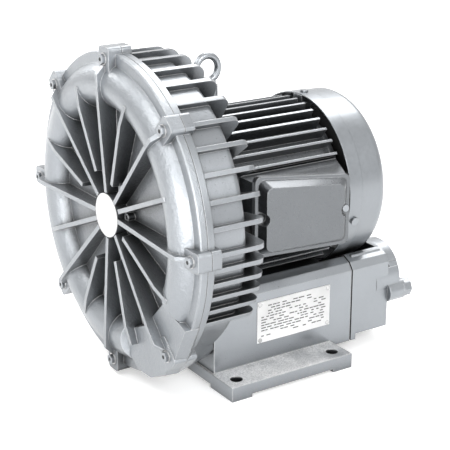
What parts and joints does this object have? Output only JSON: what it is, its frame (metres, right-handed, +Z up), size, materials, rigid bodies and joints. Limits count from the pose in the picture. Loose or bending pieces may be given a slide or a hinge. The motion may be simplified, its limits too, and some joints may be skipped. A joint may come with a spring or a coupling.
{
  "type": "side channel blower",
  "caption": "Side channel blower: ribbed round front cover and finned casing, flanged motor with fan cowl and terminal box, on a silencer base with two rear ports.",
  "frame": {"origin": "centre of the rectangle of foot holes, on the floor under the feet", "axes": "+Z up; the shaft runs along Y, with the ribbed cover facing -Y and the motor's fan cowl facing +Y; +X is the terminal box and nameplate side"},
  "size_m": [0.366, 0.362, 0.371],
  "materials": {
    "casting_enamel": "glossy blue-grey enamel over die-cast aluminium",
    "motor_enamel": "satin blue-grey enamel over cast aluminium",
    "cowl_enamel": "satin blue-grey enamel over pressed steel",
    "box_enamel": "glossy blue-grey enamel over die-cast aluminium",
    "eye_enamel": "blue-grey enamel over forged steel",
    "gasket": "black sealing sheet",
    "zinc_steel": "zinc-plated steel",
    "foam": "dark open-cell foam",
    "plug_metal": "enamelled steel plug",
    "seal_rubber": "black nitrile rubber",
    "bearing_steel": "ground bearing steel",
    "lamination_steel": "stacked electrical steel",
    "winding_copper": "varnished copper windings",
    "shaft_steel": "ground steel",
    "fan_plastic": "black moulded plastic",
    "cast_aluminium": "bare cast and machined aluminium",
    "board_plastic": "brown moulded terminal board",
    "plate_aluminium": "plain light metal plate with no lettering"
  },
  "bodies": {
    "housing": {"front_cover": "casting_enamel", "cover_gasket": "gasket", "rear_casing": "casting_enamel", "cover_screws": "zinc_steel", "silencer_base": "casting_enamel", "base_screws": "zinc_steel", "silencer_liners": "foam", "manifold_gasket": "gasket", "rear_manifold": "casting_enamel", "manifold_screws": "zinc_steel", "port_plug": "plug_metal", "motor_frame": "motor_enamel", "motor_screws": "zinc_steel", "eye_bolt": "eye_enamel", "shaft_seal": "seal_rubber", "front_bearing": "bearing_steel", "rear_bearing": "bearing_steel", "stator_core": "lamination_steel", "stator_windings": "winding_copper", "rear_shield": "motor_enamel", "shield_screws": "zinc_steel", "fan_cowl": "cowl_enamel", "cowl_screws": "zinc_steel", "terminal_base": "motor_enamel", "terminal_gasket": "gasket", "terminal_cover": "box_enamel", "terminal_cover_screws": "zinc_steel", "terminal_block": "board_plastic", "conduit_plug": "fan_plastic", "nameplate": "plate_aluminium", "nameplate_rivets": "plate_aluminium"},
    "rotor": {"motor_shaft": "shaft_steel", "impeller_key": "shaft_steel", "rotor_core": "lamination_steel", "cooling_fan": "fan_plastic", "fan_clip": "shaft_steel", "impeller": "cast_aluminium", "impeller_washer": "shaft_steel", "impeller_nut": "zinc_steel"}
  },
  "joints": [
    {"name": "rotor_spin", "type": "hinge", "parent": "housing", "child": "rotor", "pos_m": [0, 0, 0.188], "axis": [0, 1, 0], "continuous": true}
  ]
}
